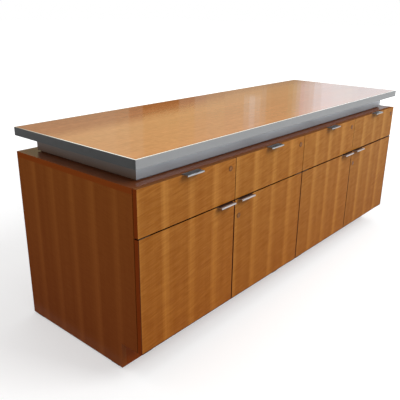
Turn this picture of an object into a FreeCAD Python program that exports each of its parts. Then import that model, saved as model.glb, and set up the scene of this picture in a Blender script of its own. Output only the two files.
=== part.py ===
import FreeCAD, Part
import os
from types import SimpleNamespace

import Sketcher

# Office credenza: a veneered case on hidden glides, four drawers over four
# doors, and a metal-edged top that floats on an inset metal-faced riser.
# Millimetres. +X runs along the case, -Y is the front and +Z is up. The origin
# is on the floor, under the middle of the whole credenza with its pulls.

FRONTS = 4          # drawers in the row, and doors under them
PIN_HOLES = 3       # shelf-pin holes one above the other
LOCKED_DOORS = (1, 3)   # counted from 0 at the left end
SAME_PLACE = 0.01   # how near an edge is to the place it is looked for

SIZES = {
    # The case and its boards
    "case_width": 1829,
    "case_depth": 591,
    "case_height": 642,          # from the end panels' feet to the case top
    "board": 19,                 # every board of the case
    "back_thickness": 12,
    "toe_height": 95,
    "toe_depth": 76,
    # Drawer and door fronts, laid over the case's edges
    "front_thickness": 16,
    "front_gap": 3,              # air behind a front
    "front_reveal": 3,           # air between two fronts side by side
    "row_reveal": 4.5,           # air between a drawer front and the door under it
    "drawer_front_height": 150,
    # Riser and top
    "riser_height": 56.5,
    "riser_inset": 51,           # from the ends and the back of the top
    "riser_front_inset": 56,     # from the front of the top
    "riser_thickness": 19,
    "shadow_height": 5,          # step along the foot of the riser
    "shadow_depth": 8,
    "top_thickness": 29,
    "band": 5,                   # metal edge band round the top
    "tongue_length": 8,
    "tongue_thickness": 3,
    "groove_play": 0.2,
    # Pulls let into the top edges of the fronts
    "pull_width": 78,
    "pull_reach": 21,            # in front of the front
    "pull_cover": 6,             # back over the front's edge
    "pull_plate": 2,
    "pull_lip": 5,
    "pull_bend": 1.5,            # radius where the lip turns down
    "pull_leg": 9,               # spline that seats in the kerf
    "pull_leg_thickness": 1.6,
    "pull_leg_setback": 3,       # from the front's face to the spline
    "pull_margin": 17,           # from a door's free edge to its pull
    # Locks
    "drawer_lock_side": 30,      # left of the seam beside it
    "drawer_lock_drop": 31.5,    # below the top of the drawer front
    "door_lock_side": 25,        # right of the meeting edge of the doors
    "door_lock_drop": 62,        # below the top of the door
    "barrel_radius": 9.5,
    "barrel_length": 25,
    "barrel_proud": 1.5,         # in front of the front
    "plug_radius": 5.5,
    "plug_play": 0.05,
    "plug_sink": 0.3,
    "keyway_width": 1.4,
    "keyway_height": 7,
    "keyway_depth": 6,
    "tail_width": 6,             # square end of the plug, through the cam
    "cam_gap": 0.5,
    "cam_thickness": 2,
    "cam_width": 10,
    "cam_corner": 2,
    "drawer_cam": 20,            # reach of a drawer lock's cam
    "door_cam": 40,
    "cam_slot_play": 1,          # round a cam in its slot in the case top
    "cam_slot_depth": 10,
    # Drawer boxes and slides
    "box_board": 12,
    "box_bottom": 6,
    "box_groove": 6,
    "box_bottom_lift": 10,       # from the box's lower edge to its bottom
    "box_height": 88,
    "box_length": 500,
    "box_lift": 8,               # from the deck to the box
    "box_notch_play": 1.5,       # round the lock in the box's corner notch
    "slide_width": 12.7,
    "slide_height": 45,
    "slide_wall": 1.2,
    "slide_play": 0.5,
    "slide_mouth": 2.2,          # from a channel's flanges to the next wall
    "slide_length": 500,
    "slide_setback": 2,
    # Shelves and their pins
    "shelf_setback": 25,
    "shelf_play": 1.5,           # round three sides of a shelf
    "shelf_height": 302,         # pins in use, above the end panels' feet
    "pin_pitch": 32,
    "pin_inset": 37,             # from the front and back of a cupboard
    "pin_radius": 2.45,
    "pin_play": 0.05,
    "pin_sink": 8.5,
    "pin_reach": 8,
    # Offset pivot hinges in the doors' top and bottom edges
    "hinge_pin_radius": 2,
    "hinge_pin_play": 0.05,
    "hinge_pin_inset": 8,        # from the door's hinge edge
    "hinge_pin_setback": 4,      # behind the door's face
    "hinge_pin_end_play": 0.1,   # from the pin's end to the bottom of the mortise
    "hinge_gap": 0.5,            # between a leaf and the plate it turns on
    "leaf_thickness": 1.5,
    "leaf_margin": 1.6,          # round the pin
    "leaf_side": 0.5,            # from a case upright to the leaf
    "leaf_length": 40,
    "leaf_depth": 20,            # under the board that carries it
    "plate_thickness": 2,
    "plate_length": 46,
    "plate_width": 11,
    # Magnetic catches
    "catch_width": 46,
    "catch_depth": 15,
    "catch_height": 12,
    "catch_ear": 9,
    "catch_ear_thickness": 2.5,
    "catch_side": 70,            # from the meeting edge to the catch
    "catch_gap": 0.3,
    "strike_thickness": 1.2,
    "strike_height": 9,
    # Glides tacked under the end panels and the toe kick
    "glide_height": 5,
    "glide_length": 38,
    "glide_width": 13,
    "glide_inset": 40,           # to the middle of a glide
}


class Length:
    """A length: its value, and the sheet expression that gives it."""

    def __init__(self, value, text):
        self.value = value
        self.text = text

    def __add__(self, other):
        other = as_length(other)
        return Length(self.value + other.value, f"({self.text} + {other.text})")

    def __sub__(self, other):
        other = as_length(other)
        return Length(self.value - other.value, f"({self.text} - {other.text})")

    def __mul__(self, number):
        return Length(self.value * number, f"({self.text} * {number})")

    def __truediv__(self, number):
        return Length(self.value / number, f"({self.text} / {number})")

    def __neg__(self):
        return self * -1


def as_length(item):
    """A Length as it is, or a plain number as a Length."""
    return item if isinstance(item, Length) else Length(item, repr(item))


def fill_sheet():
    """Write the driving dimensions to the sheet and return them as Lengths."""
    sheet = document.addObject("Spreadsheet::Sheet", "Sizes")
    lengths = {}
    for row, (name, value) in enumerate(SIZES.items(), start=1):
        sheet.set(f"A{row}", name)
        sheet.set(f"B{row}", str(value))
        sheet.setAlias(f"B{row}", name)
        lengths[name] = Length(value, "Sizes." + name)
    document.recompute()
    return SimpleNamespace(**lengths)


os.makedirs("parts", exist_ok=True)
document = FreeCAD.newDocument("Credenza")
S = fill_sheet()
ZERO = as_length(0)
ABOUT_Y = FreeCAD.Vector(0, 1, 0)
ABOUT_Z = FreeCAD.Vector(0, 0, 1)

# Places that several pieces share
OVERALL_DEPTH = S.front_thickness + S.front_gap + S.case_depth
HALF_WIDTH = S.case_width / 2
PITCH = S.case_width / FRONTS
FACE_Y = (S.pull_reach - OVERALL_DEPTH) / 2
FRONT_BACK_Y = FACE_Y + S.front_thickness
CASE_Y = FRONT_BACK_Y + S.front_gap
BACK_Y = FACE_Y + OVERALL_DEPTH
INNER_DEPTH = S.case_depth - S.back_thickness
CASE_TOP_Z = S.glide_height + S.case_height
CASE_ROOF_Z = CASE_TOP_Z - S.board
CASE_FLOOR_Z = S.glide_height + S.toe_height
TOP_Z = CASE_TOP_Z + S.riser_height
DRAWER_Z = CASE_TOP_Z - S.drawer_front_height
DOOR_TOP_Z = DRAWER_Z - S.row_reveal
DOOR_Z = CASE_FLOOR_Z + S.hinge_gap
DOOR_HEIGHT = DOOR_TOP_Z - DOOR_Z
DECK_Z = DOOR_TOP_Z + S.hinge_gap + S.leaf_thickness
BAY_FLOOR_Z = DECK_Z + S.board
BOX_Z = BAY_FLOOR_Z + S.box_lift
SLIDE_Z = BOX_Z + S.box_height / 2
DRAWER_LOCK_Z = CASE_TOP_Z - S.drawer_lock_drop
DOOR_LOCK_Z = DOOR_TOP_Z - S.door_lock_drop
LOCK_Y = FACE_Y - S.barrel_proud
PLUG_LENGTH = S.barrel_length + S.cam_gap
CAM_Y = LOCK_Y + PLUG_LENGTH
SHELF_PIN_Z = S.glide_height + S.shelf_height
PIN_ROWS = (S.pin_inset, INNER_DEPTH - S.pin_inset)
GLIDE_ROWS = (S.toe_depth + S.glide_inset, S.case_depth - S.glide_inset)
HINGE_Y = FACE_Y + S.hinge_pin_setback
HINGE_RIM = S.hinge_pin_radius + S.leaf_margin
CUPBOARDS = {
    "left": (S.board - HALF_WIDTH, S.board / -2),
    "right": (S.board / 2, HALF_WIDTH - S.board),
}


def seam(index):
    """X of the left end of front number index, midway in the seam there."""
    return PITCH * index - HALF_WIDTH


def front_span(index):
    """X of the left and right edges of front number index."""
    left = seam(index) + (S.front_reveal / 2 if index > 0 else ZERO)
    right = seam(index + 1) - (S.front_reveal / 2 if index < FRONTS - 1 else ZERO)
    return left, right


def drawer_bay(index):
    """X of the left and right walls of drawer bay number index."""
    left = seam(index) + (S.board / 2 if index > 0 else S.board)
    right = seam(index + 1) - (S.board / 2 if index < FRONTS - 1 else S.board)
    return left, right


# Helpers that make one feature each

def new_body(label, x=ZERO, y=ZERO, z=ZERO, turn=0, about=ABOUT_Z):
    """A PartDesign body placed at x, y, z and turned by some degrees."""
    body = document.addObject("PartDesign::Body", label)
    body.Label = label
    body.Placement = FreeCAD.Placement(FreeCAD.Vector(), FreeCAD.Rotation(about, turn))
    for axis, place in zip("xyz", (x, y, z)):
        body.setExpression("Placement.Base." + axis, as_length(place).text)
    return body


def new_sketch(body, plane, offset=ZERO):
    """A sketch on one of the body's own origin planes, offset along its normal."""
    sketch = body.newObject("Sketcher::SketchObject", body.Name + "_sketch")
    for feature in body.Origin.OriginFeatures:
        if feature.Role == plane:
            sketch.AttachmentSupport = (feature, [""])
    sketch.MapMode = "FlatFace"
    sketch.setExpression("AttachmentOffset.Base.z", as_length(offset).text)
    return sketch


def bind(sketch, kind, geometry, point, length):
    """Hold a point of a sketch at a length from the origin, along X or Y."""
    rule = Sketcher.Constraint(kind, -1, 1, geometry, point, length.value)
    number = sketch.addConstraint(rule)
    sketch.setExpression(f"Constraints[{number}]", length.text)


def outline(sketch, corners):
    """A closed outline through corners, each bound to the sheet in X and Y."""
    corners = [(as_length(x), as_length(y)) for x, y in corners]
    points = [FreeCAD.Vector(x.value, y.value, 0) for x, y in corners]
    first = sketch.GeometryCount
    count = len(points)
    for index in range(count):
        line = Part.LineSegment(points[index], points[(index + 1) % count])
        sketch.addGeometry(line, False)
    for index in range(count):
        following = first + (index + 1) % count
        joint = Sketcher.Constraint("Coincident", first + index, 2, following, 1)
        sketch.addConstraint(joint)
    for index, (x, y) in enumerate(corners):
        bind(sketch, "DistanceX", first + index, 1, x)
        bind(sketch, "DistanceY", first + index, 1, y)


def rectangle(sketch, x, y, width, height):
    """A rectangle with one corner at x, y."""
    right = as_length(x) + width
    upper = as_length(y) + height
    outline(sketch, [(x, y), (right, y), (right, upper), (x, upper)])


def circle(sketch, x, y, radius):
    """A circle bound to the sheet in place and radius."""
    x, y = as_length(x), as_length(y)
    centre = FreeCAD.Vector(x.value, y.value, 0)
    ring = sketch.addGeometry(Part.Circle(centre, ABOUT_Z, radius.value), False)
    bind(sketch, "DistanceX", ring, 3, x)
    bind(sketch, "DistanceY", ring, 3, y)
    number = sketch.addConstraint(Sketcher.Constraint("Radius", ring, radius.value))
    sketch.setExpression(f"Constraints[{number}]", radius.text)


def pad(body, sketch, length, backwards=False):
    """Pad a sketch along its plane's normal, or backwards."""
    feature = body.newObject("PartDesign::Pad", body.Name + "_pad")
    feature.Profile = sketch
    feature.setExpression("Length", as_length(length).text)
    feature.Reversed = backwards
    return feature


def pocket(body, sketch, depth, along_normal=False):
    """Cut a sketch into the body, against its plane's normal or along it."""
    feature = body.newObject("PartDesign::Pocket", body.Name + "_pocket")
    feature.Profile = sketch
    feature.setExpression("Length", as_length(depth).text)
    feature.Reversed = along_normal
    return feature


def board(label, x, y, z, width, depth, height):
    """A plain board with its lowest corner at x, y, z."""
    body = new_body(label, x, y, z)
    plan = new_sketch(body, "XY_Plane")
    rectangle(plan, 0, 0, width, depth)
    pad(body, plan, height)
    return body


def group(label, members):
    """One sub-part that holds several separate solids."""
    compound = document.addObject("Part::Compound", label)
    compound.Label = label
    compound.Links = members
    return compound


# The case

def drill_pin_rows(body, face_x, into_plus_x, foot_z, depth):
    """Drill both rows of shelf-pin holes into the face at face_x of an upright."""
    holes = new_sketch(body, "YZ_Plane", face_x)
    lowest = SHELF_PIN_Z - S.pin_pitch * (PIN_HOLES // 2) - foot_z
    for row_y in PIN_ROWS:
        circle(holes, row_y, lowest, S.pin_radius + S.pin_play)
    drilled = pocket(body, holes, depth, into_plus_x)
    rows = body.newObject("PartDesign::LinearPattern", body.Name + "_rows")
    rows.Originals = [drilled]
    rows.Direction = (holes, ["V_Axis"])
    rows.setExpression("Length", (S.pin_pitch * (PIN_HOLES - 1)).text)
    rows.Occurrences = PIN_HOLES
    body.Tip = rows


def end_panel(label, left_x, inner_x):
    """An end panel with its toe notch and shelf-pin holes."""
    body = new_body(label, left_x, CASE_Y, S.glide_height)
    height = S.case_height - S.board
    side = new_sketch(body, "YZ_Plane")
    outline(side, [
        (S.toe_depth, 0), (S.case_depth, 0), (S.case_depth, height),
        (0, height), (0, S.toe_height), (S.toe_depth, S.toe_height),
    ])
    pad(body, side, S.board)
    drill_pin_rows(body, inner_x, inner_x is ZERO, S.glide_height, S.pin_sink)


def centre_partition():
    """The full-height upright between the cupboards, drilled right through for both."""
    foot_z = CASE_FLOOR_Z + S.board
    body = board("centre_partition", S.board / -2, CASE_Y, foot_z,
                 S.board, INNER_DEPTH, CASE_ROOF_Z - foot_z)
    drill_pin_rows(body, ZERO, True, foot_z, S.board)


def drawer_dividers():
    """The two short uprights, each between the drawers over one cupboard."""
    return group("drawer_dividers", [
        board(f"drawer_divider_{index}", seam(index) - S.board / 2, CASE_Y, BAY_FLOOR_Z,
              S.board, INNER_DEPTH, CASE_ROOF_Z - BAY_FLOOR_Z)
        for index in (1, 3)
    ])


def case_top():
    """The board over the whole case, slotted underneath for the drawer lock cams."""
    body = board("case_top", -HALF_WIDTH, CASE_Y, CASE_ROOF_Z,
                 S.case_width, S.case_depth, S.board)
    slots = new_sketch(body, "XY_Plane")
    left = S.drawer_cam + S.cam_slot_play
    width = left + S.cam_width / 2 + S.cam_slot_play
    front_y = CAM_Y - S.cam_slot_play - CASE_Y
    for index in range(FRONTS):
        lock_x = seam(index + 1) - S.drawer_lock_side + HALF_WIDTH
        rectangle(slots, lock_x - left, front_y, width, S.cam_thickness + S.cam_slot_play * 2)
    pocket(body, slots, S.cam_slot_depth, along_normal=True)


def cupboard_boards(label, piece, front_gap, side_gap, back_gap, z):
    """Two like boards, one across each cupboard."""
    return group(label, [
        board(f"{side}_{piece}", left + side_gap, CASE_Y + front_gap, z,
              right - left - side_gap * 2, INNER_DEPTH - front_gap - back_gap, S.board)
        for side, (left, right) in CUPBOARDS.items()
    ])


def case_boards():
    """Bottom, back, decks and shelves between the end panels."""
    left_x = S.board - HALF_WIDTH
    width = S.case_width - S.board * 2
    board("case_bottom", left_x, CASE_Y, CASE_FLOOR_Z, width, INNER_DEPTH, S.board)
    board("back_panel", left_x, BACK_Y - S.back_thickness, S.glide_height,
          width, S.back_thickness, S.case_height - S.board)
    cupboard_boards("drawer_decks", "deck", ZERO, ZERO, ZERO, DECK_Z)
    cupboard_boards("adjustable_shelves", "shelf", S.shelf_setback, S.shelf_play,
                    S.shelf_play, SHELF_PIN_Z + S.pin_radius)
    board("toe_kick", left_x, CASE_Y + S.toe_depth, S.glide_height,
          width, S.board, S.toe_height)


def shelf_pin(label, wall_x, wall_y, turn):
    """A pin sunk in a wall; turn 0 makes it stick out towards +X."""
    body = new_body(label, wall_x, wall_y, SHELF_PIN_Z, turn)
    end = new_sketch(body, "YZ_Plane", -S.pin_sink)
    circle(end, 0, 0, S.pin_radius)
    pad(body, end, S.pin_sink + S.pin_reach)
    return body


def shelf_pins():
    """Four pins under each shelf."""
    return group("shelf_pins", [
        shelf_pin(f"{side}_pin_{turn}_{row}", wall_x, CASE_Y + row_y, turn)
        for side, walls in CUPBOARDS.items()
        for wall_x, turn in zip(walls, (0, 180))
        for row, row_y in enumerate(PIN_ROWS)
    ])


def glide(label, x, y, width, depth):
    """A flat glide whose middle is at x, y."""
    return board(label, x - width / 2, y - depth / 2, ZERO, width, depth, S.glide_height)


def floor_glides():
    """Two glides under each end panel and one under the toe kick."""
    middle_y = CASE_Y + S.toe_depth + S.board / 2
    ends = {"left": S.board / 2 - HALF_WIDTH, "right": HALF_WIDTH - S.board / 2}
    glides = [
        glide(f"{side}_glide_{row}", x, CASE_Y + y, S.glide_width, S.glide_length)
        for side, x in ends.items() for row, y in enumerate(GLIDE_ROWS)
    ]
    glides.append(glide("middle_glide", ZERO, middle_y, S.glide_length, S.glide_width))
    return group("floor_glides", glides)


# The riser and the top

def mitred_rail(label, profile, reach, height, length, x, y, z, turn):
    """A profile run along +X, its ends mitred, then turned to its side."""
    body = new_body(label, x, y, z, turn)
    section = new_sketch(body, "YZ_Plane")
    outline(section, profile)
    pad(body, section, length)
    mitres = new_sketch(body, "XY_Plane")
    outline(mitres, [(0, 0), (reach, reach), (0, reach)])
    outline(mitres, [(length, 0), (length, reach), (length - reach, reach)])
    pocket(body, mitres, height, along_normal=True)
    return body


def mitred_frame(label, profile, reach, height, inset, front_inset, z):
    """Four mitred rails round the plan of the top, inset from its edges."""
    long_side = S.case_width - inset * 2
    short_side = OVERALL_DEPTH - front_inset - inset
    left, right = inset - HALF_WIDTH, HALF_WIDTH - inset
    front, back = FACE_Y + front_inset, BACK_Y - inset
    sides = [
        ("front", long_side, left, front, 0), ("right", short_side, right, front, 90),
        ("back", long_side, right, back, 180), ("left", short_side, left, back, 270),
    ]
    return group(label, [
        mitred_rail(f"{label}_{side}", profile, reach, height, length, x, y, z, turn)
        for side, length, x, y, turn in sides
    ])


def riser_rails():
    """The metal-faced board rails that lift the top, stepped in at their foot."""
    profile = [
        (0, S.shadow_height), (S.shadow_depth, S.shadow_height), (S.shadow_depth, 0),
        (S.riser_thickness, 0), (S.riser_thickness, S.riser_height), (0, S.riser_height),
    ]
    return mitred_frame("riser_rails", profile, S.riser_thickness, S.riser_height,
                        S.riser_inset, S.riser_front_inset, CASE_TOP_Z)


def top_edge_bands():
    """The metal bands round the top, each with a tongue into the top's groove."""
    low = (S.top_thickness - S.tongue_thickness) / 2
    high = low + S.tongue_thickness
    reach = S.band + S.tongue_length
    profile = [
        (0, 0), (S.band, 0), (S.band, low), (reach, low),
        (reach, high), (S.band, high), (S.band, S.top_thickness), (0, S.top_thickness),
    ]
    return mitred_frame("top_edge_bands", profile, reach, S.top_thickness, ZERO, ZERO, TOP_Z)


def top_panel():
    """The veneered top, grooved all round for the tongues of its bands."""
    width = S.case_width - S.band * 2
    depth = OVERALL_DEPTH - S.band * 2
    body = board("top_panel", S.band - HALF_WIDTH, FACE_Y + S.band, TOP_Z,
                 width, depth, S.top_thickness)
    groove = S.tongue_length + S.groove_play
    height = S.tongue_thickness + S.groove_play * 2
    ring = new_sketch(body, "XY_Plane", (S.top_thickness - height) / 2)
    rectangle(ring, 0, 0, width, depth)
    rectangle(ring, groove, groove, width - groove * 2, depth - groove * 2)
    pocket(body, ring, height, along_normal=True)


# Fronts, pulls and locks

def front_panel(label, index, z, height, pull_x, lock_spot=None):
    """A drawer or door front with the kerf for its pull and the bore for its lock."""
    left, right = front_span(index)
    body = board(label, left, FACE_Y, z, right - left, S.front_thickness, height)
    kerf = new_sketch(body, "XY_Plane", height)
    play = S.groove_play
    rectangle(kerf, pull_x - S.pull_width / 2 - play - left, S.pull_leg_setback - play,
              S.pull_width + play * 2, S.pull_leg_thickness + play * 2)
    pocket(body, kerf, S.pull_leg + play)
    if lock_spot:
        lock_x, lock_z = lock_spot
        bore = new_sketch(body, "XZ_Plane")
        circle(bore, lock_x - left, lock_z - z, S.barrel_radius)
        pocket(body, bore, S.front_thickness)
    return body


def edges_along_x(feature, y, z):
    """Names of the edges of a feature that run along X at y and z."""
    names = []
    for number, edge in enumerate(feature.Shape.Edges, 1):
        box = edge.BoundBox
        straight = box.YLength + box.ZLength < SAME_PLACE
        if straight and abs(box.YMin - y) + abs(box.ZMin - z) < SAME_PLACE:
            names.append(f"Edge{number}")
    return names


def pull(label, centre_x, edge_z):
    """A tab pull: plate, turned-down lip, and the spline in the front's edge."""
    body = new_body(label, centre_x - S.pull_width / 2, FACE_Y - S.pull_reach,
                    edge_z - S.pull_leg)
    leg_y = S.pull_reach + S.pull_leg_setback
    leg_back = leg_y + S.pull_leg_thickness
    cover_y = S.pull_reach + S.pull_cover
    over = S.pull_leg + S.pull_plate
    lip_z = over - S.pull_lip
    section = new_sketch(body, "YZ_Plane")
    outline(section, [
        (0, lip_z), (S.pull_plate, lip_z), (S.pull_plate, S.pull_leg),
        (leg_y, S.pull_leg), (leg_y, 0), (leg_back, 0), (leg_back, S.pull_leg),
        (cover_y, S.pull_leg), (cover_y, over), (0, over),
    ])
    plate = pad(body, section, S.pull_width)
    document.recompute()
    bend = body.newObject("PartDesign::Fillet", label + "_bend")
    bend.Base = (plate, edges_along_x(plate, 0, over.value))
    bend.setExpression("Radius", S.pull_bend.text)
    return body


def lock_barrel(label, x, z):
    """The fixed part of a lock: a tube tight in the bore of the front, and a little proud."""
    body = new_body(label, x, LOCK_Y, z)
    ring = new_sketch(body, "XZ_Plane")
    circle(ring, 0, 0, S.barrel_radius)
    circle(ring, 0, 0, S.plug_radius + S.plug_play)
    pad(body, ring, S.barrel_length, backwards=True)
    return body


def lock_plug(label, x, z, cam_reach, cam_turn):
    """The turning plug with its keyway, and the cam on its square tail."""
    plug = new_body(label + "_core", x, LOCK_Y, z)
    end = new_sketch(plug, "XZ_Plane", -S.plug_sink)
    circle(end, 0, 0, S.plug_radius)
    pad(plug, end, PLUG_LENGTH - S.plug_sink, backwards=True)
    tail = new_sketch(plug, "XZ_Plane", -PLUG_LENGTH)
    rectangle(tail, S.tail_width / -2, S.tail_width / -2, S.tail_width, S.tail_width)
    pad(plug, tail, S.cam_thickness, backwards=True)
    keyway = new_sketch(plug, "XZ_Plane")
    rectangle(keyway, S.keyway_width / -2, S.keyway_height / -2, S.keyway_width, S.keyway_height)
    pocket(plug, keyway, S.keyway_depth)

    cam = new_body(label + "_cam", x, CAM_Y, z, cam_turn, ABOUT_Y)
    side = S.cam_width / 2
    tip = side - S.cam_corner
    arm = new_sketch(cam, "XZ_Plane")
    outline(arm, [
        (-side, -side), (side, -side), (side, cam_reach - S.cam_corner), (tip, cam_reach),
        (-tip, cam_reach), (-side, cam_reach - S.cam_corner),
    ])
    hole = S.tail_width + S.plug_play * 2
    rectangle(arm, hole / -2, hole / -2, hole, hole)
    pad(cam, arm, S.cam_thickness, backwards=True)
    return group(label, [plug, cam])


# Drawers

def box_side(label, x, grooved_x, length, groove_z, groove_height):
    """A side of a drawer box, grooved inside for the bottom."""
    body = board(label, x, FRONT_BACK_Y + S.box_board, BOX_Z,
                 S.box_board, length - S.box_board, S.box_height)
    groove = new_sketch(body, "XZ_Plane")
    rectangle(groove, grooved_x, groove_z, S.box_groove, groove_height)
    pocket(body, groove, length)
    return body


def drawer_box(label, left, right, lock_x):
    """A drawer box: front with a notch for the lock, sides, back and bottom."""
    width = right - left
    inner_width = width - S.box_board * 2
    sunk = S.box_board - S.box_groove
    groove_z = S.box_bottom_lift
    groove_height = S.box_bottom + S.groove_play

    front = board(label + "_front", left, FRONT_BACK_Y, BOX_Z, width, S.box_board, S.box_height)
    groove = new_sketch(front, "XY_Plane", groove_z)
    rectangle(groove, sunk, sunk, width - sunk * 2, S.box_groove)
    pocket(front, groove, groove_height, along_normal=True)
    notch = new_sketch(front, "XZ_Plane")
    notch_left = lock_x - left - S.drawer_cam - S.box_notch_play
    notch_z = DRAWER_LOCK_Z - BOX_Z - S.barrel_radius - S.box_notch_play
    rectangle(notch, notch_left, notch_z, width - notch_left, S.box_height - notch_z)
    pocket(front, notch, S.box_board)

    back = board(label + "_back", left + S.box_board,
                 FRONT_BACK_Y + S.box_length - S.box_board, BOX_Z,
                 inner_width, S.box_board, S.box_height)
    back_groove = new_sketch(back, "XY_Plane", groove_z)
    rectangle(back_groove, 0, 0, inner_width, S.box_groove)
    pocket(back, back_groove, groove_height, along_normal=True)

    bottom = board(label + "_bottom", left + sunk, FRONT_BACK_Y + sunk, BOX_Z + groove_z,
                   width - sunk * 2, S.box_length - sunk * 2, S.box_bottom)
    sides = [
        box_side(label + "_left", left, sunk, S.box_length, groove_z, groove_height),
        box_side(label + "_right", right - S.box_board, ZERO, S.box_length,
                 groove_z, groove_height),
    ]
    return group(label, [front, back, bottom] + sides)


def channel(label, wall_x, turn, web_x, mouth_x, half_height):
    """A slide's channel beside the wall at wall_x; turn 0 is on a left wall."""
    body = new_body(label, wall_x, CASE_Y + S.slide_setback, SLIDE_Z, turn, ABOUT_Y)
    wall = S.slide_wall * (1 if mouth_x.value > web_x.value else -1)
    inner = half_height - S.slide_wall
    section = new_sketch(body, "XZ_Plane")
    outline(section, [
        (web_x, -half_height), (mouth_x, -half_height), (mouth_x, -inner),
        (web_x + wall, -inner), (web_x + wall, inner), (mouth_x, inner),
        (mouth_x, half_height), (web_x, half_height),
    ])
    pad(body, section, S.slide_length, backwards=True)
    return body


def slide_pair(label, index, web_x, mouth_x, half_height):
    """One channel of the slides on both walls of drawer bay number index."""
    left, right = drawer_bay(index)
    return [
        channel(label + "_left", left, 0, web_x, mouth_x, half_height),
        channel(label + "_right", right, 180, web_x, mouth_x, half_height),
    ]


def slide_members(index):
    """Cabinet member, carriage and drawer member of the slides of one drawer."""
    number = index + 1
    step = S.slide_wall + S.slide_play
    outer = S.slide_height / 2
    mouth = S.slide_width - S.slide_mouth
    group(f"drawer_{number}_slide_carriages", slide_pair(
        f"drawer_{number}_carriage", index, step, mouth, outer - step))
    group(f"drawer_{number}_slide_members", slide_pair(
        f"drawer_{number}_member", index, S.slide_width, step * 2, outer - step * 2))
    return slide_pair(f"cabinet_member_{number}", index, ZERO, mouth, outer)


def drawer(index):
    """One drawer with its pull and its lock."""
    name = f"drawer_{index + 1}"
    left, right = front_span(index)
    pull_x = (left + right) / 2
    lock_x = seam(index + 1) - S.drawer_lock_side
    bay_left, bay_right = drawer_bay(index)
    front_panel(name + "_front", index, DRAWER_Z, S.drawer_front_height, pull_x,
                (lock_x, DRAWER_LOCK_Z))
    drawer_box(name + "_box", bay_left + S.slide_width, bay_right - S.slide_width, lock_x)
    pull(name + "_pull", pull_x, CASE_TOP_Z)
    lock_barrel(name + "_lock_barrel", lock_x, DRAWER_LOCK_Z)
    lock_plug(name + "_lock_plug", lock_x, DRAWER_LOCK_Z, S.drawer_cam, -90)


# Doors and their hinges

def hinge_leaf(label, x, z, side, turn):
    """The case's leaf of a pivot hinge, cranked round the upright, with its pin."""
    body = new_body(label, x, HINGE_Y, z, turn, ABOUT_Y)
    hand = side if turn == 0 else -side
    upright = S.board - S.hinge_pin_inset + S.leaf_side
    case_edge = CASE_Y - HINGE_Y
    crank_y = case_edge - S.leaf_side
    plan = new_sketch(body, "XY_Plane")
    outline(plan, [
        (HINGE_RIM * -hand, -HINGE_RIM), (S.leaf_length * hand, -HINGE_RIM),
        (S.leaf_length * hand, case_edge + S.leaf_depth),
        (upright * hand, case_edge + S.leaf_depth), (upright * hand, crank_y),
        (HINGE_RIM * -hand, crank_y),
    ])
    pad(body, plan, S.leaf_thickness)
    pin = new_sketch(body, "XY_Plane")
    circle(pin, 0, 0, S.hinge_pin_radius)
    pad(body, pin, S.hinge_gap + S.plate_thickness - S.hinge_pin_end_play, backwards=True)
    return body


def plate_plan(sketch, x, y, hand):
    """Outline of a hinge plate round its pin at x, y, in the door's edge."""
    rectangle(sketch, x - HINGE_RIM * hand, y - HINGE_RIM, S.plate_length * hand, S.plate_width)


def hinge_plate(label, x, z, side, turn):
    """The door's half of a pivot hinge, let in flush, with the hole for the pin."""
    body = new_body(label, x, HINGE_Y, z, turn, ABOUT_Y)
    plan = new_sketch(body, "XY_Plane")
    plate_plan(plan, ZERO, ZERO, side if turn == 0 else -side)
    circle(plan, 0, 0, S.hinge_pin_radius + S.hinge_pin_play)
    pad(body, plan, S.plate_thickness, backwards=True)
    return body


def cut_hinge_mortises(door, pin_x, side):
    """Mortise a door's top and bottom edges for its hinge plates."""
    for edge_z, upwards in ((DOOR_HEIGHT, False), (ZERO, True)):
        mortise = new_sketch(door, "XY_Plane", edge_z)
        plate_plan(mortise, pin_x, S.hinge_pin_setback, side)
        pocket(door, mortise, S.plate_thickness, along_normal=upwards)


def magnetic_catch(label, centre_x):
    """A catch screwed under the deck by its two ears."""
    body = new_body(label, centre_x - S.catch_width / 2,
                    FRONT_BACK_Y + S.strike_thickness + S.catch_gap, DECK_Z - S.catch_height)
    ear_z = S.catch_height - S.catch_ear_thickness
    block_right = S.catch_width - S.catch_ear
    face = new_sketch(body, "XZ_Plane")
    outline(face, [
        (0, ear_z), (S.catch_ear, ear_z), (S.catch_ear, 0), (block_right, 0),
        (block_right, ear_z), (S.catch_width, ear_z), (S.catch_width, S.catch_height),
        (0, S.catch_height),
    ])
    pad(body, face, S.catch_depth, backwards=True)
    return body


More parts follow.
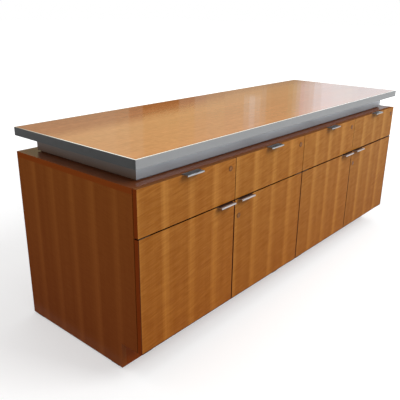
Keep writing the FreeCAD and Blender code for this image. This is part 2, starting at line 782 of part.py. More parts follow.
def door(index):
    """One door with its pull, hinge plates, catch plate and perhaps a lock."""
    name = f"door_{index + 1}"
    left, right = front_span(index)
    side = 1 if index % 2 == 0 else -1
    hinge_edge = left if side == 1 else right
    free_edge = right if side == 1 else left
    meeting = seam(index + 1) if side == 1 else seam(index)
    pin_x = hinge_edge + S.hinge_pin_inset * side
    pull_x = free_edge - (S.pull_margin + S.pull_width / 2) * side
    catch_x = meeting - S.catch_side * side
    lock_x = meeting + S.door_lock_side
    locked = index in LOCKED_DOORS

    panel = front_panel(name + "_panel", index, DOOR_Z, DOOR_HEIGHT, pull_x,
                        (lock_x, DOOR_LOCK_Z) if locked else None)
    cut_hinge_mortises(panel, pin_x - left, side)
    pull(name + "_pull", pull_x, DOOR_TOP_Z)
    fittings = [
        hinge_plate(name + "_top_plate", pin_x, DOOR_TOP_Z, side, 0),
        hinge_plate(name + "_bottom_plate", pin_x, DOOR_Z, side, 180),
        board(name + "_strike", catch_x - S.catch_width / 2, FRONT_BACK_Y,
              DECK_Z - S.catch_height, S.catch_width, S.strike_thickness, S.strike_height),
    ]
    if locked:
        fittings.append(lock_barrel(name + "_lock_barrel", lock_x, DOOR_LOCK_Z))
        lock_plug(name + "_lock_plug", lock_x, DOOR_LOCK_Z, S.door_cam, 180)
    group(name + "_fittings", fittings)
    leaves = [
        hinge_leaf(name + "_top_leaf", pin_x, DECK_Z - S.leaf_thickness, side, 0),
        hinge_leaf(name + "_bottom_leaf", pin_x, CASE_FLOOR_Z, side, 180),
    ]
    return leaves, magnetic_catch(name + "_catch", catch_x)


def build():
    """Make every sub-part of the credenza."""
    end_panel("left_end_panel", -HALF_WIDTH, S.board)
    end_panel("right_end_panel", HALF_WIDTH - S.board, ZERO)
    centre_partition()
    drawer_dividers()
    case_top()
    case_boards()
    shelf_pins()
    floor_glides()
    riser_rails()
    top_edge_bands()
    top_panel()
    cabinet_members = []
    leaves = []
    catches = []
    for index in range(FRONTS):
        drawer(index)
        cabinet_members += slide_members(index)
        door_leaves, catch = door(index)
        leaves += door_leaves
        catches.append(catch)
    group("slide_cabinet_members", cabinet_members)
    group("hinge_leaves", leaves)
    group("magnetic_catches", catches)
    document.recompute()


def sub_parts():
    """Bodies and groups of bodies that stand for themselves, not for a group."""
    kinds = ("PartDesign::Body", "Part::Compound")
    found = [item for item in document.Objects if item.TypeId in kinds]
    grouped = {member.Name for item in found if item.TypeId == kinds[1] for member in item.Links}
    return [item for item in found if item.Name not in grouped]


def check_and_export():
    """Stop at any feature that failed, then write one STEP file per sub-part."""
    for item in document.Objects:
        if "Invalid" in item.State or "Error" in item.State:
            raise RuntimeError(f"{item.Label} failed: {item.State}")
    for item in sub_parts():
        if item.Shape.isNull() or not item.Shape.isValid():
            raise RuntimeError(f"{item.Label} has no valid shape")
        item.Shape.exportStep(f"parts/{item.Label}.step")


build()
check_and_export()
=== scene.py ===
"""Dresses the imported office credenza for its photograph: veneers, metals, studio and camera."""
import math

import bpy
from mathutils import Matrix, Vector

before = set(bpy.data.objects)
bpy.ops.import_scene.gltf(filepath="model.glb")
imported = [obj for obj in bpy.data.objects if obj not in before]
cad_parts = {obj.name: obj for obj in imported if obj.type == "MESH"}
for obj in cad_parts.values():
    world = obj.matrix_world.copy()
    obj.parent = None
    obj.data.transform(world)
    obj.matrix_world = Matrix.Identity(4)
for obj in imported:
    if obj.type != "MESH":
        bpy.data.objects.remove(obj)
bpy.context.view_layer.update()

X, Y, Z = 0, 1, 2

FRONTS = 4
WIDTH = 1.829
FRONT_PITCH = WIDTH / FRONTS

WHITE = (1.0, 1.0, 1.0, 1.0)

# How far sharp edges are rounded over, on boards and on small turned metal.
EDGE_ROUNDING = 0.0007
SMALL_ROUNDING = 0.0003

# A surface faces along an axis where this much of its normal lies on it.
FACING_SHARE = 0.5


# ---------------------------------------------------------------- node helpers


def rgb(red, green, blue):
    """A linear colour with its alpha."""
    return (red, green, blue, 1.0)


class Graph:
    """A new material's node tree, with short ways to add nodes and join them."""

    def __init__(self, name):
        self.material = bpy.data.materials.new(name)
        self.material.use_nodes = True
        self.tree = self.material.node_tree
        self.tree.nodes.clear()

    def node(self, kind, inputs=None, **settings):
        """A node with its settings. An input is a value, or another node's output that feeds it."""
        made = self.tree.nodes.new("ShaderNode" + kind)
        for key, value in settings.items():
            setattr(made, key, value)
        for key, value in (inputs or {}).items():
            if isinstance(value, bpy.types.NodeSocket):
                self.tree.links.new(value, made.inputs[key])
            else:
                made.inputs[key].default_value = value
        return made

    def math(self, operation, first, second=0.0, third=0.0):
        """The result of one sum on up to three numbers or outputs."""
        values = {0: first, 1: second, 2: third}
        return self.node("Math", values, operation=operation).outputs[0]

    def weigh(self, first, share, second):
        """Two values added, the first by its share and the second by the rest."""
        rest = self.math("MULTIPLY", second, 1.0 - share)
        return self.math("MULTIPLY_ADD", first, share, rest)

    def vary(self, tone, noise, amount):
        """A tone made lighter and darker by a noise from 0 to 1."""
        return self.math("MULTIPLY_ADD", self.math("SUBTRACT", noise, 0.5), amount, tone)

    def away(self, value, middle):
        """How far a value is from a middle."""
        return self.math("ABSOLUTE", self.math("SUBTRACT", value, middle))

    def ramp(self, value, stops):
        """A value mapped smoothly through (place, level) stops to a grey level."""
        made = self.node("ValToRGB", {"Fac": value})
        band = made.color_ramp
        band.interpolation = "EASE"
        while len(band.elements) < len(stops):
            band.elements.new(1.0)
        for element, (place, level) in zip(band.elements, stops):
            element.position = place
            element.color = rgb(level, level, level)
        return made.outputs["Color"]

    def mix(self, share, low, high, blend="MIX"):
        """Two colours mixed by a share from 0 to 1."""
        values = {"Factor": share, 6: low, 7: high}
        made = self.node("Mix", values, data_type="RGBA", blend_type=blend)
        return made.outputs[2]

    def span(self, value, low, high, start=0.0, end=1.0):
        """A value from start to end spread over low to high."""
        values = {"Value": value, "From Min": start, "From Max": end, "To Min": low, "To Max": high}
        return self.node("MapRange", values).outputs["Result"]

    def place(self):
        """The point's place in the credenza's own frame, in metres, which moves with its body."""
        return self.node("TexCoord").outputs["Object"]

    def parts(self, place):
        """The x, y and z of a place or a direction."""
        return self.node("SeparateXYZ", {0: place}).outputs

    def facing(self, axis):
        """1 on the surfaces that face along an axis, either way, and 0 elsewhere."""
        normal = self.node("TexCoord").outputs["Normal"]
        share = self.math("ABSOLUTE", self.parts(normal)[axis])
        return self.math("GREATER_THAN", share, FACING_SHARE)

    def stretched(self, place, scales, lean=0.0):
        """The coordinates scaled by axis, with z leaning along x and y."""
        x, y, z = self.parts(place)
        leaned = self.math("MULTIPLY_ADD", self.math("ADD", x, y), -lean, z)
        spread = [self.math("MULTIPLY", *pair) for pair in zip((x, y, leaned), scales)]
        return self.node("CombineXYZ", dict(enumerate(spread))).outputs[0]

    def noise(self, place, scale=1.0, detail=2.0, roughness=0.5, distortion=0.0):
        """Noise from 0 to 1 at a place."""
        values = {
            "Vector": place,
            "Scale": scale,
            "Detail": detail,
            "Roughness": roughness,
            "Distortion": distortion,
        }
        return self.node("TexNoise", values).outputs["Fac"]

    def bump(self, height, strength, distance, radius=EDGE_ROUNDING):
        """Normals for a fine relief on a surface whose sharp edges are rounded over."""
        rounded = self.node("Bevel", {"Radius": radius}, samples=6).outputs["Normal"]
        values = {
            "Strength": strength,
            "Distance": distance,
            "Height": height,
            "Normal": rounded,
        }
        return self.node("Bump", values).outputs["Normal"]

    def finish(self, kind, inputs):
        """Joins a shader of that kind to the material's output and returns the material."""
        shader = self.node(kind, inputs)
        self.node("OutputMaterial", {"Surface": shader.outputs[0]})
        return self.material


# ---------------------------------------------------------------- veneers

# How the light stripe along each leaf of veneer fades across the leaf, from its left edge.
STRIPE_STOPS = (
    (0.00, 0.12),
    (0.06, 0.55),
    (0.14, 1.00),
    (0.24, 0.75),
    (0.35, 0.32),
    (0.52, 0.12),
    (0.72, 0.22),
    (0.88, 0.12),
    (1.00, 0.12),
)

# How much each part of the figure counts in the tone, from 0 for the deep colour to 1 for the pale.
BASE_TONE = 0.18
STRIPE_WEIGHT = 0.48
RIPPLE_WEIGHT = 2.2
GROWTH_WEIGHT = 3.0
PORE_WEIGHT = 0.30
LEAF_WEIGHT = 0.06

# Each figure's scales along the grain and across it, and the lean of the ripples on upright veneer.
RIPPLE_SCALES = (205.0, 22.0)
PORE_SCALES = (14.0, 950.0)
GROWTH_SCALES = (1.6, 34.0)
MOTTLE_SCALES = (30.0, 60.0)
RIPPLE_LEAN = 0.18

# How much the ripples count beside the pores in the relief, and the level of an edge's dark pores.
RIPPLE_RELIEF = 0.6
PORE_SHADE = 0.6

# A veneer's painted shade holds below the first height, its painted sheen above the second.
SHADE_AND_SHEEN_HEIGHTS = (0.08, 0.60)

# Painted shade laid along the seams round each door's face.
SEAM_SHADE = rgb(0.090, 0.015, 0.001)
END_SIDE_EDGE = rgb(0.39, 0.070, 0.012)
# Beyond here along x, an upright edge is at the right end of the case.
RIGHT_END = 0.905


def veneer(name, along, across, deep, pale, leaf=0.119, start=0.0, stripe=1.0, ripple=0.32,
           coat=0.15, coat_roughness=0.25, variation=0.12, mottle=0.0, side_edge=None,
           level_edge=None, shade_rims=(), shade_and_sheen=None):
    """Sliced wood veneer in leaves with a light stripe each, ripples, pores and a clear lacquer.

    The edge colours are for the bands on a front's upright and level edges, darkened to paint the
    shade in the seams. A rim is an axis, a middle and a reach: past that reach from the middle,
    painted seam shade darkens the face. A painted shade darkens the colour near the floor and a
    painted sheen lightens it near the top of the drawers."""
    graph = Graph(name)
    place = graph.place()
    parts = graph.parts(place)

    def figure(scales, lean=0.0, **settings):
        """Noise stretched lengthwise along the grain."""
        slow, fast = scales
        by_axis = [slow if axis == along else fast for axis in (X, Y, Z)]
        return graph.noise(graph.stretched(place, by_axis, lean), **settings)

    leaf_place = graph.math("DIVIDE", graph.math("SUBTRACT", parts[across], start), leaf)
    stripes = graph.ramp(graph.math("FRACT", leaf_place), STRIPE_STOPS)
    leaf_number = {"W": graph.math("FLOOR", leaf_place)}
    leaf_tone = graph.node("TexWhiteNoise", leaf_number, noise_dimensions="1D").outputs["Value"]
    lean = RIPPLE_LEAN if along == Z else 0.0
    ripples = figure(RIPPLE_SCALES, lean, detail=1.0, distortion=0.4)
    pores = figure(PORE_SCALES, detail=3.0, roughness=0.65)
    growth = figure(GROWTH_SCALES, detail=3.0, roughness=0.6)

    tone = graph.math("MULTIPLY", stripes, stripe * STRIPE_WEIGHT)
    tone = graph.vary(tone, ripples, ripple * RIPPLE_WEIGHT)
    tone = graph.vary(tone, growth, variation * GROWTH_WEIGHT)
    tone = graph.vary(tone, pores, PORE_WEIGHT)
    tone = graph.math("MULTIPLY_ADD", leaf_tone, LEAF_WEIGHT, tone)
    if mottle:
        tone = graph.vary(tone, figure(MOTTLE_SCALES, detail=3.0, distortion=0.8), mottle)
    colour = graph.mix(graph.math("ADD", tone, BASE_TONE), deep, pale)

    # Painted shade near the floor and painted sheen near the top of the drawers.
    if shade_and_sheen:
        rise = graph.span(parts[Z], 0.0, 1.0, *SHADE_AND_SHEEN_HEIGHTS)
        colour = graph.mix(1.0, colour, graph.mix(rise, *shade_and_sheen), "MULTIPLY")
    # Painted shade along the seams round a door's face.
    for axis, middle, reach in shade_rims:
        past = graph.math("GREATER_THAN", graph.away(parts[axis], middle), reach)
        colour = graph.mix(past, colour, SEAM_SHADE)
    # On the fronts, these edge colours paint the shade in the seams between them.
    for axis, edge in ((X, side_edge), (Z, level_edge)):
        if edge:
            edge_colour = graph.mix(pores, [PORE_SHADE * level for level in edge], edge)
            if axis == X:
                at_right_end = graph.math("GREATER_THAN", parts[X], RIGHT_END)
                edge_colour = graph.mix(at_right_end, edge_colour, END_SIDE_EDGE)
            on_edge = graph.facing(axis)
            colour = graph.mix(on_edge, colour, edge_colour)
            coat = graph.math("MULTIPLY", graph.math("SUBTRACT", 1.0, on_edge), coat)

    height = graph.math("MULTIPLY_ADD", ripples, RIPPLE_RELIEF, pores)
    relief = graph.bump(height, strength=0.12, distance=0.0002)
    return graph.finish("BsdfPrincipled", {
        "Base Color": colour,
        "Roughness": graph.span(pores, 0.42, 0.62),
        "Specular IOR Level": 0.0,
        "Coat Weight": coat,
        "Coat Roughness": coat_roughness,
        "Normal": relief,
        "Coat Normal": relief,
    })


def birch(name):
    """Pale birch plywood with long soft grain and fine flecks."""
    graph = Graph(name)
    place = graph.place()
    stretched = graph.stretched(place, (9.0, 9.0, 260.0))
    grain = graph.noise(stretched, detail=4.0, roughness=0.6, distortion=0.8)
    flecks = graph.noise(graph.stretched(place, (120.0, 120.0, 1400.0)), detail=2.0)
    tone = graph.vary(grain, flecks, amount=0.4)
    return graph.finish("BsdfPrincipled", {
        "Base Color": graph.mix(tone, rgb(0.42, 0.27, 0.14), rgb(0.68, 0.50, 0.30)),
        "Roughness": graph.span(grain, 0.40, 0.60),
        "Specular IOR Level": 0.35,
        "Normal": graph.bump(grain, strength=0.15, distance=0.0002),
    })


# ---------------------------------------------------------------- metals and plastics

# Scales along x, y and z that draw the fine lines of a brushed surface.
LEVEL_LINES = (7.0, 7.0, 1500.0)
LINES_ALONG_X = (7.0, 900.0, 900.0)
SHORT_LINES_ALONG_X = (40.0, 900.0, 900.0)
UPRIGHT_LINES = (900.0, 900.0, 40.0)
LATHE_GRAIN = (600.0, 600.0, 600.0)


def brushed_metal(name, dark, light, rough, scales, metallic=1.0, radius=EDGE_ROUNDING, overlay=None):
    """Metal with fine lines drawn along it and a faint cloudiness.

    An overlay takes the graph, the x, y and z of the place and the colour. It returns the colour
    with painted light and parts' colours laid over it, and the share that isn't bare metal, or
    None."""
    graph = Graph(name)
    place = graph.place()
    lines = graph.noise(graph.stretched(place, scales), detail=3.0, roughness=0.7)
    tone = graph.weigh(lines, 0.6, graph.noise(place, scale=9.0, detail=3.0))
    colour = graph.mix(tone, dark, light)
    if overlay:
        colour, non_metal_share = overlay(graph, graph.parts(place), colour)
        if non_metal_share is not None:
            metallic = graph.math("MULTIPLY", graph.math("SUBTRACT", 1.0, non_metal_share), metallic)
    return graph.finish("BsdfPrincipled", {
        "Base Color": colour,
        "Metallic": metallic,
        "Roughness": graph.span(tone, *rough),
        "Normal": graph.bump(lines, strength=0.25, distance=0.00004, radius=radius),
    })


# The edge band's top carries a painted highlight, bright up to one depth and faded from another.
HIGHLIGHT_UP_TO = 0.02
HIGHLIGHT_FADES_FROM = 0.30
BAND_TOP_HIGHLIGHT = rgb(0.92, 0.90, 0.85)
BAND_TOP_FADED = rgb(0.36, 0.26, 0.19)

# The riser's ends carry painted reflection and shade: the case's at the foot, the room's at the
# head.
RISER_HEIGHTS = (0.650, 0.704)
RISER_FOOT_REFLECTION = rgb(0.22, 0.135, 0.09)
RISER_HEAD_REFLECTION = rgb(0.44, 0.43, 0.42)

DOOR_LOCK_HEIGHT = 0.4305
DOOR_LOCK_REACH = 0.012
DOOR_LOCK_BRONZE = rgb(0.165, 0.067, 0.022)

# Depths between which the top of a door's pull goes from light to shaded.
PULL_LIT_TO = -0.313
PULL_SHADED_FROM = -0.305
PULL_SHADE = rgb(0.030, 0.016, 0.018)


def painted_band_highlight(graph, parts, colour):
    """The edge band's top, with a painted highlight bright at the front that fades toward the back.
    """
    level = graph.facing(Z)
    back = graph.span(parts[Y], 0.0, 1.0, HIGHLIGHT_UP_TO, HIGHLIGHT_FADES_FROM)
    return graph.mix(level, colour, graph.mix(back, BAND_TOP_HIGHLIGHT, BAND_TOP_FADED)), level


def painted_riser_reflection(graph, parts, colour):
    """The riser's faces that look along x, with painted reflection and shade, warmer toward their
    foot.
    """
    height = graph.span(parts[Z], 0.0, 1.0, *RISER_HEIGHTS)
    ends = graph.mix(height, RISER_FOOT_REFLECTION, RISER_HEAD_REFLECTION)
    return graph.mix(graph.facing(X), colour, ends), None


def door_lock(graph, parts, colour):
    """A door's lock barrel among its steel fittings."""
    away = graph.away(parts[Z], DOOR_LOCK_HEIGHT)
    on_lock = graph.math("LESS_THAN", away, DOOR_LOCK_REACH)
    return graph.mix(on_lock, colour, DOOR_LOCK_BRONZE), None


def shaded_pull(graph, parts, colour):
    """The top of a door's pull, shaded where it lies close to the front."""
    close = graph.span(parts[Y], 0.0, 1.0, PULL_LIT_TO, PULL_SHADED_FROM)
    share = graph.math("MULTIPLY", graph.facing(Z), close)
    return graph.mix(share, colour, PULL_SHADE), None


def zinc_plate(name):
    """Bright zinc on pressed steel, with soft spangle and rubbed tracks."""
    graph = Graph(name)
    place = graph.place()
    spangle = graph.node("TexVoronoi", {"Vector": place, "Scale": 90.0}).outputs["Distance"]
    stretched = graph.stretched(place, (500.0, 6.0, 500.0))
    rubbing = graph.noise(stretched, detail=3.0, roughness=0.6)
    tone = graph.weigh(spangle, 0.5, rubbing)
    return graph.finish("BsdfPrincipled", {
        "Base Color": graph.mix(tone, rgb(0.42, 0.45, 0.49), rgb(0.68, 0.71, 0.74)),
        "Metallic": 1.0,
        "Roughness": graph.span(tone, 0.25, 0.45),
        "Normal": graph.bump(rubbing, strength=0.2, distance=0.00005),
    })


def moulded_plastic(name, dark, light, rough):
    """Moulded plastic with a fine spark-eroded grain."""
    graph = Graph(name)
    place = graph.place()
    grain = graph.noise(place, scale=1800.0, detail=2.0)
    tone = graph.weigh(graph.noise(place, scale=40.0, detail=2.0), 0.7, grain)
    return graph.finish("BsdfPrincipled", {
        "Base Color": graph.mix(tone, dark, light),
        "Roughness": graph.span(grain, *rough),
        "Specular IOR Level": 0.4,
        "Normal": graph.bump(grain, strength=0.2, distance=0.00005),
    })


# ---------------------------------------------------------------- dressing the nodes

FRONT_DEEP = rgb(0.300, 0.086, 0.006)
FRONT_PALE = rgb(0.580, 0.240, 0.040)
# The case veneer is a darker, redder copy of the fronts' veneer, painting the shade seen on the
# ends.
CASE_DEEP = rgb(0.290, 0.066, 0.009)
CASE_PALE = rgb(0.510, 0.155, 0.026)
TOP_DEEP = rgb(0.365, 0.108, 0.032)
TOP_PALE = rgb(0.590, 0.210, 0.077)
# The boards are darker than the case veneer, painting the shade on the ledge under the top.
BOARD_DEEP = rgb(0.175, 0.050, 0.016)
BOARD_PALE = rgb(0.300, 0.100, 0.033)
BOARD_SIDE_EDGE = rgb(0.46, 0.098, 0.017)
TOE_DEEP = rgb(0.31, 0.055, 0.006)
TOE_PALE = rgb(0.52, 0.118, 0.016)

# The upright edges of each drawer front, from the left, and of every door but the first. All but
# the first drawer's are darkened, front by front, to paint the shade in the seams.
DRAWER_SIDE_EDGES = (
    END_SIDE_EDGE,
    rgb(0.10, 0.030, 0.010),
    rgb(0.26, 0.100, 0.022),
    rgb(0.30, 0.120, 0.025),
)
DOOR_SIDE_EDGE = rgb(0.020, 0.003, 0.001)
# The level edges are darkened as well, painting the shade in the seams and on the drawers' tops.
DRAWER_LEVEL_EDGE = rgb(0.26, 0.100, 0.035)
DOOR_LEVEL_EDGE = rgb(0.030, 0.006, 0.001)

# The fronts' painted shade below and painted sheen above, and what each sheet adds, from the left.
FRONT_SHADE_AND_SHEEN = ((0.93, 0.82, 0.66), (1.02, 1.10, 1.38))
SHEET_TINTS = ((1.02, 0.99, 1.0), (1.01, 1.02, 1.06), (1.01, 1.06, 1.20), (0.98, 1.06, 1.24))
# The case's painted shade below and painted sheen above.
END_SHADE_AND_SHEEN = (rgb(0.88, 0.80, 1.0), rgb(1.04, 1.09, 1.2))

# How far each front's first light stripe starts from the front's left edge.
STRIPE_STARTS = (0.092, 0.105, 0.087, 0.092)

DOOR_REVEAL = 0.003
DOOR_MIDDLE = 0.2965
DOOR_HEIGHT = 0.392
# How far the painted seam shade comes in from the sides, the bottom and the top of each door.
SIDE_RIM = 0.0021
BOTTOM_RIM = 0.0025
TOP_RIMS = (0.0, 0.0, 0.0008, 0.0025)


def dress(material, *names):
    """Gives the material to every slot of the named nodes."""
    for name in names:
        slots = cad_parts[name].material_slots
        if not slots:
            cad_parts[name].data.materials.append(material)
        for slot in slots:
            slot.material = material


def door_shade_rims(index, left):
    """The painted seam shade round a door whose place along the case starts at left."""
    reach = FRONT_PITCH / 2 - DOOR_REVEAL / 2 - SIDE_RIM
    middle = DOOR_MIDDLE + (BOTTOM_RIM - TOP_RIMS[index]) / 2
    height = DOOR_HEIGHT - BOTTOM_RIM - TOP_RIMS[index]
    return ((X, left + FRONT_PITCH / 2, reach), (Z, middle, height / 2))


def dress_fronts():
    """Each drawer front and the door below it come from one sheet, so their stripes run through."""
    for index, start in enumerate(STRIPE_STARTS):
        left = -WIDTH / 2 + index * FRONT_PITCH
        shade_and_sheen = [rgb(*[level * sheet for level, sheet in zip(row, SHEET_TINTS[index])])
                 for row in FRONT_SHADE_AND_SHEEN]
        sheet = {"start": left + start, "shade_and_sheen": shade_and_sheen}
        drawer = f"drawer_{index + 1}_front"
        dress(veneer(f"{drawer}_veneer", Z, X, FRONT_DEEP, FRONT_PALE, **sheet,
                     side_edge=DRAWER_SIDE_EDGES[index], level_edge=DRAWER_LEVEL_EDGE), drawer)
        door = f"door_{index + 1}_panel"
        dress(veneer(f"{door}_veneer", Z, X, FRONT_DEEP, FRONT_PALE, **sheet,
                     side_edge=DOOR_SIDE_EDGE if index else END_SIDE_EDGE,
                     level_edge=DOOR_LEVEL_EDGE, shade_rims=door_shade_rims(index, left)), door)


def dress_case():
    """The carcass: end panels, boards, shelves, plinth and feet."""
    plain = {"stripe": 0.8, "ripple": 0.12, "shade_and_sheen": END_SHADE_AND_SHEEN}
    ends = veneer("end_veneer", Z, Y, CASE_DEEP, CASE_PALE, leaf=0.105, start=-0.32, **plain)
    dress(ends, "left_end_panel", "right_end_panel", "centre_partition", "drawer_dividers")
    back = veneer("back_veneer", Z, X, CASE_DEEP, CASE_PALE, leaf=0.131, start=0.03, **plain)
    dress(back, "back_panel")
    boards = veneer("board_veneer", X, Y, BOARD_DEEP, BOARD_PALE, stripe=0.2, ripple=0.12,
                    coat=0.6, side_edge=BOARD_SIDE_EDGE)
    dress(boards, "case_top", "case_bottom", "drawer_decks", "adjustable_shelves")
    toe = veneer("toe_veneer", X, Z, TOE_DEEP, TOE_PALE, stripe=0.1, ripple=0.12)
    dress(toe, "toe_kick")
    glides = moulded_plastic("glide_plastic", rgb(0.015, 0.015, 0.016), rgb(0.04, 0.04, 0.04),
                             (0.35, 0.5))
    dress(glides, "floor_glides")


def dress_top():
    """The worktop's veneer, the aluminium round it and the laminate under it."""
    top = veneer("top_veneer", X, Y, TOP_DEEP, TOP_PALE, leaf=0.155, start=0.02, stripe=0.35,
                 ripple=0.30, coat=1.0, coat_roughness=0.06, variation=0.16, mottle=0.9)
    dress(top, "top_panel")
    band = brushed_metal("band_aluminium", rgb(0.18, 0.185, 0.19), rgb(0.27, 0.275, 0.28),
                         (0.28, 0.42), LEVEL_LINES, overlay=painted_band_highlight)
    dress(band, "top_edge_bands")
    riser = brushed_metal("riser_laminate", rgb(0.41, 0.455, 0.50), rgb(0.50, 0.555, 0.61),
                          (0.32, 0.45), LEVEL_LINES, metallic=0.42, overlay=painted_riser_reflection)
    dress(riser, "riser_rails")


def dress_hardware():
    """Pulls, locks, slides, hinges, catches and shelf pins."""
    # The drawer pulls' metal is a darker copy of the door pulls', painting the dark reflection
    # under the top.
    drawer_pulls = brushed_metal("drawer_pull_metal", rgb(0.27, 0.28, 0.285),
                                 rgb(0.38, 0.39, 0.395), (0.25, 0.36), LINES_ALONG_X)
    door_pulls = brushed_metal("door_pull_metal", rgb(0.40, 0.38, 0.385), rgb(0.54, 0.52, 0.525),
                               (0.34, 0.46), LINES_ALONG_X, metallic=0.6, overlay=shaded_pull)
    plugs = brushed_metal("lock_bronze", rgb(0.20, 0.080, 0.026), rgb(0.34, 0.152, 0.054),
                          (0.40, 0.55), LATHE_GRAIN, radius=SMALL_ROUNDING)
    barrels = brushed_metal("barrel_bronze", rgb(0.12, 0.046, 0.014), rgb(0.21, 0.088, 0.030),
                            (0.40, 0.55), LATHE_GRAIN, radius=SMALL_ROUNDING)
    zinc = zinc_plate("slide_zinc")
    # The hinge steel is near-black, painting the seams' shade over the hinge leaves.
    steel = brushed_metal("hinge_steel", rgb(0.05, 0.035, 0.025), rgb(0.10, 0.075, 0.055),
                          (0.35, 0.5), UPRIGHT_LINES, overlay=door_lock)
    pins = brushed_metal("pin_steel", rgb(0.45, 0.45, 0.45), rgb(0.65, 0.65, 0.65), (0.2, 0.35),
                         SHORT_LINES_ALONG_X, radius=SMALL_ROUNDING)
    catches = moulded_plastic("catch_plastic", rgb(0.12, 0.07, 0.04), rgb(0.20, 0.12, 0.07),
                              (0.35, 0.5))
    boxes = birch("box_birch")
    for number in range(1, FRONTS + 1):
        drawer = f"drawer_{number}"
        dress(drawer_pulls, f"{drawer}_pull")
        dress(barrels, f"{drawer}_lock_barrel")
        dress(plugs, f"{drawer}_lock_plug")
        dress(zinc, f"{drawer}_slide_members", f"{drawer}_slide_carriages")
        dress(boxes, f"{drawer}_box")
        dress(door_pulls, f"door_{number}_pull")
        dress(steel, f"door_{number}_fittings")
    dress(plugs, "door_2_lock_plug", "door_4_lock_plug")
    dress(zinc, "slide_cabinet_members")
    dress(steel, "hinge_leaves")
    dress(pins, "shelf_pins")
    dress(catches, "magnetic_catches")


# ---------------------------------------------------------------- studio

# The camera is where the photographer stood, worked out from the corners of the case in the photo.
CAMERA_PLACE = Vector((-1.8304, -1.3107, 1.1177))
CAMERA_RIGHT = Vector((0.65377, -0.75660, 0.01194))
CAMERA_UP = Vector((0.25326, 0.23366, 0.93876))
CAMERA_BACK = Vector((-0.71305, -0.61071, 0.34437))
CAMERA_LENS = 46.82
SENSOR_WIDTH = 36.0

FLOOR_REACH = 40.0
# Distances over which the floor's own glow grows from the least to full white.
GLOW_DISTANCES = (1.2, 4.5)
LEAST_GLOW = 0.42

# The room's far wall stands this far from the camera along y, and is brighter above one height.
WALL_AWAY = 3.75
WALL_TOP = 4.5
BRIGHTER_FROM = 1.6
HIGH_GAIN = 1.12

# The far side of the room: where each stretch starts and ends, as bearings from the camera, the
# colour of the wall, the colour of the dark furniture before it, and how high that furniture is.
ROOM_STRETCHES = (
    ((62.0, 50.0), (1.02, 0.88, 0.49), (0.40, 0.40, 0.27), 1.375),
    ((50.0, 48.5), (0.97, 0.83, 0.45), (0.38, 0.37, 0.24), 1.375),
    ((48.5, 47.0), (0.93, 0.77, 0.39), (0.30, 0.24, 0.14), 1.370),
    ((47.0, 43.0), (0.87, 0.68, 0.30), (0.19, 0.11, 0.03), 1.345),
    ((43.0, 41.3), (0.83, 0.66, 0.31), (0.28, 0.23, 0.15), 1.335),
    ((41.3, 40.0), (0.80, 0.66, 0.36), (0.35, 0.34, 0.26), 1.325),
    ((40.0, 38.0), (0.77, 0.66, 0.38), (0.42, 0.40, 0.27), 1.320),
    ((38.0, 34.0), (0.73, 0.62, 0.37), (0.40, 0.40, 0.28), 1.280),
    ((34.0, 33.5), (0.66, 0.59, 0.38), (0.36, 0.35, 0.24), 1.275),
    ((33.5, 33.0), (0.63, 0.51, 0.27), (0.36, 0.35, 0.24), 1.275),
    ((33.0, 31.2), (0.60, 0.48, 0.25), (0.34, 0.34, 0.24), 1.275),
    ((31.2, 30.7), (0.60, 0.52, 0.28), (0.33, 0.34, 0.24), 1.275),
    ((30.7, 30.3), (0.64, 0.59, 0.37), (0.34, 0.36, 0.27), 1.280),
    ((30.3, 29.9), (0.68, 0.66, 0.51), (0.36, 0.38, 0.30), 1.280),
    ((29.9, 29.5), (0.77, 0.73, 0.69), (0.38, 0.41, 0.33), 1.285),
    ((29.5, 29.0), (0.80, 0.81, 0.77), (0.42, 0.46, 0.40), 1.285),
    ((29.0, 28.5), (0.84, 0.89, 0.86), (0.45, 0.50, 0.44), 1.290),
    ((28.5, 27.7), (0.96, 1.08, 1.12), (0.51, 0.56, 0.51), 1.300),
    ((27.7, 26.6), (1.06, 1.20, 1.28), (0.57, 0.62, 0.58), 1.310),
    ((26.6, 25.4), (1.04, 1.23, 1.31), (0.60, 0.65, 0.60), 1.320),
    ((25.4, 24.6), (1.01, 1.22, 1.29), (0.60, 0.65, 0.60), 1.320),
    ((24.6, 24.0), (0.96, 1.17, 1.26), (0.58, 0.63, 0.59), 1.320),
    ((24.0, 14.0), (0.92, 1.13, 1.23), (0.55, 0.60, 0.57), 1.320),
)

# The upright strip lamp and the glow round it: bearings, distance and heights, and its colour.
STRIP_GLOW = ((35.9, 34.1), 3.6, (0.90, 2.6))
STRIP_GLOW_COLOUR = rgb(0.76, 0.71, 0.50)
STRIP_LAMP = ((35.3, 34.7), 3.5, (0.885, 2.6))
STRIP_LAMP_COLOUR = rgb(0.84, 0.83, 0.66)

# The dim floor to the left, which the left end's metal mirrors, as its corners and its glow.
SIDE_FLOOR = ((-0.95, -3.5, 0.002), (-7.0, -3.5, 0.002), (-7.0, 6.0, 0.002), (-0.95, 6.0, 0.002))
SIDE_FLOOR_COLOUR = rgb(0.92, 0.90, 0.88)
SIDE_FLOOR_GLOW = 0.16

WORLD_LEVEL = 0.5


def card(name, corners, material, glossy_only=False):
    """A flat card of the studio, through four corners in order."""
    mesh = bpy.data.meshes.new(name)
    mesh.from_pydata(corners, [], [range(len(corners))])
    mesh.materials.append(material)
    made = bpy.data.objects.new(name, mesh)
    bpy.context.scene.collection.objects.link(made)
    if glossy_only:
        made.visible_camera = False
        made.visible_diffuse = False
        made.visible_shadow = False
        made.visible_transmission = False


def glowing(name, colour, strength=1.0):
    """A plain glowing card's material."""
    return Graph(name).finish("Emission", {"Color": colour, "Strength": strength})


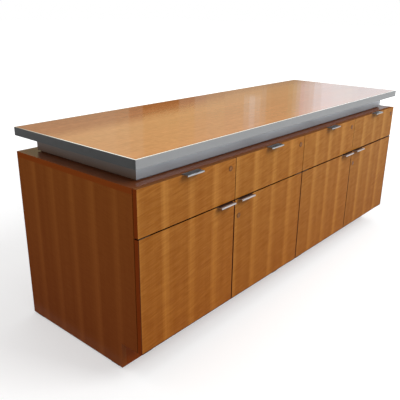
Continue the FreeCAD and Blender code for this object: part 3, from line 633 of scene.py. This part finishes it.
def floor_material():
    """White paper to the camera and in reflections, greyer in the light it bounces."""
    graph = Graph("floor_paper")
    place = graph.place()
    fibre = graph.noise(place, scale=30.0, detail=4.0)
    paper = graph.node("BsdfDiffuse", {"Color": graph.span(fibre, 0.62, 0.64)})
    distance = graph.node("VectorMath", {0: place}, operation="LENGTH").outputs["Value"]
    strength = graph.span(distance, LEAST_GLOW, 1.0, *GLOW_DISTANCES)
    glow = graph.node("Emission", {"Color": WHITE, "Strength": strength})
    seen = graph.node("AddShader", {0: paper.outputs[0], 1: glow.outputs[0]})
    bounced = graph.node("BsdfDiffuse", {"Color": rgb(0.24, 0.24, 0.24)})
    path = graph.node("LightPath").outputs
    direct = graph.math("MAXIMUM", path["Is Camera Ray"], path["Is Glossy Ray"])
    direct = graph.math("MAXIMUM", direct, path["Is Transmission Ray"])
    return graph.finish("MixShader", {0: direct, 1: bounced.outputs[0], 2: seen.outputs[0]})


def build_floor():
    """The paper floor the credenza stands on."""
    signs = ((-1, -1), (1, -1), (1, 1), (-1, 1))
    corners = [(x * FLOOR_REACH, y * FLOOR_REACH, 0.0) for x, y in signs]
    card("floor", corners, floor_material())


def upright_card(name, feet, heights, material):
    """A card that stands on two points of the floor, seen only in reflections."""
    left, right = feet
    low, high = heights
    corners = [(*left, low), (*right, low), (*right, high), (*left, high)]
    card(name, corners, material, glossy_only=True)


def strip_card(name, bearings, distance, heights, material):
    """An upright card between two bearings from the camera, at a distance from it."""
    turns = [math.radians(bearing) for bearing in bearings]
    feet = [(CAMERA_PLACE.x + distance * math.cos(turn), CAMERA_PLACE.y + distance * math.sin(turn))
            for turn in turns]
    upright_card(name, feet, heights, material)


def wall_card(name, bearings, heights, colour):
    """A glowing card parallel to the credenza's back, between two bearings from the camera."""
    turns = [math.radians(bearing) for bearing in bearings]
    feet = [(CAMERA_PLACE.x + WALL_AWAY / math.tan(turn), CAMERA_PLACE.y + WALL_AWAY)
            for turn in turns]
    upright_card(name, feet, heights, glowing(name, rgb(*colour)))


def build_reflectors():
    """What the lacquer and the metal mirror: a room's far side, a strip lamp and a dim floor."""
    for number, (bearings, wall, furniture, furniture_top) in enumerate(ROOM_STRETCHES, 1):
        high_wall = [HIGH_GAIN * level for level in wall]
        wall_card(f"room_high_wall_{number}", bearings, (BRIGHTER_FROM, WALL_TOP), high_wall)
        wall_card(f"room_wall_{number}", bearings, (furniture_top, BRIGHTER_FROM), wall)
        wall_card(f"room_furniture_{number}", bearings, (0.0, furniture_top), furniture)
    strip_card("room_strip_glow", *STRIP_GLOW, glowing("strip_glow", STRIP_GLOW_COLOUR))
    strip_card("room_strip_lamp", *STRIP_LAMP, glowing("strip", STRIP_LAMP_COLOUR))
    slate = glowing("slate", SIDE_FLOOR_COLOUR, SIDE_FLOOR_GLOW)
    card("room_side_floor", SIDE_FLOOR, slate, glossy_only=True)


def area_lamp(name, place, aim, size, power):
    """A square soft white lamp at a place, pointed at another."""
    light = bpy.data.lights.new(name, "AREA")
    light.size = size
    light.energy = power
    lamp = bpy.data.objects.new(name, light)
    lamp.location = place
    lamp.rotation_euler = (Vector(aim) - Vector(place)).to_track_quat("-Z", "Y").to_euler()
    bpy.context.scene.collection.objects.link(lamp)


def build_lights():
    """A soft lamp high in front to the right, a wide one overhead and an even grey room."""
    area_lamp("key", place=(1.4, -3.3, 3.4), aim=(0.0, -0.2, 0.4), size=2.4, power=140.0)
    area_lamp("overhead", place=(0.0, 0.2, 5.0), aim=(0.0, 0.2, 0.0), size=5.0, power=85.0)
    world = bpy.data.worlds.new("room")
    world.use_nodes = True
    tree = world.node_tree
    room = tree.nodes["Background"]
    room.inputs["Color"].default_value = WHITE
    room.inputs["Strength"].default_value = WORLD_LEVEL
    paper = tree.nodes.new("ShaderNodeBackground")
    paper.inputs["Color"].default_value = WHITE
    path = tree.nodes.new("ShaderNodeLightPath")
    mixed = tree.nodes.new("ShaderNodeMixShader")
    tree.links.new(path.outputs["Is Camera Ray"], mixed.inputs[0])
    tree.links.new(room.outputs[0], mixed.inputs[1])
    tree.links.new(paper.outputs[0], mixed.inputs[2])
    tree.links.new(mixed.outputs[0], tree.nodes["World Output"].inputs["Surface"])
    bpy.context.scene.world = world


def build_camera():
    """The photograph's camera."""
    data = bpy.data.cameras.new("camera")
    data.lens = CAMERA_LENS
    data.sensor_width = SENSOR_WIDTH
    camera = bpy.data.objects.new("camera", data)
    axes = Matrix((CAMERA_RIGHT, CAMERA_UP, CAMERA_BACK)).transposed()
    camera.matrix_world = Matrix.Translation(CAMERA_PLACE) @ axes.to_4x4()
    bpy.context.scene.collection.objects.link(camera)
    bpy.context.scene.camera = camera


dress_fronts()
dress_case()
dress_top()
dress_hardware()
build_floor()
build_reflectors()
build_lights()
build_camera()
bpy.context.scene.view_settings.view_transform = "Standard"
